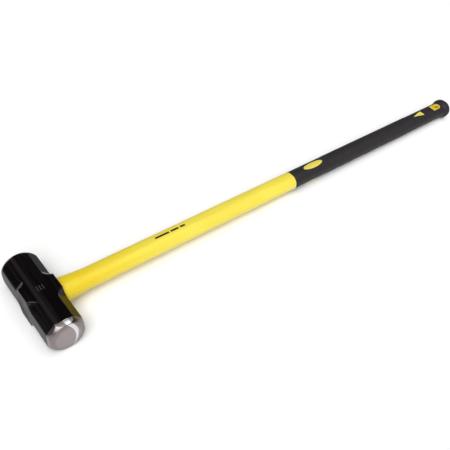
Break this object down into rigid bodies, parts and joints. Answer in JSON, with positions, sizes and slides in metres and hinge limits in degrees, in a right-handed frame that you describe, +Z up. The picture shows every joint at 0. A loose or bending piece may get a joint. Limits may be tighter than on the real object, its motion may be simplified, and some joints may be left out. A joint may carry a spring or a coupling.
{
  "type": "sledgehammer",
  "caption": "Sledgehammer with a steel head, square at the waist and octagonal at the ends, on a jacketed fibreglass handle with a flared rubber grip.",
  "frame": {"origin": "centre of the lower cheek of the head, under the crossing of the handle's axis and the striking axis", "axes": "+X along the handle from the head to the butt, Y along the striking direction from face to face, +Z up, away from the cheek that the head rests on"},
  "size_m": [0.914, 0.145, 0.0508],
  "materials": {
    "head_paint": "gloss near-black paint over forged steel, with ground steel striking faces",
    "fibreglass": "pultruded glass fibre and resin",
    "resin": "cast epoxy resin",
    "seal_rubber": "soft rubber",
    "jacket_plastic": "satin moulded plastic, yellow",
    "grip_rubber": "matte charcoal rubber with fine rings",
    "eyelet_plastic": "satin moulded plastic, yellow"
  },
  "bodies": {
    "root": {"head": "head_paint", "core": "fibreglass", "eye_resin": "resin", "eye_seal": "seal_rubber", "jacket": "jacket_plastic", "grip": "grip_rubber", "hang_eyelet": "eyelet_plastic"}
  },
  "joints": []
}
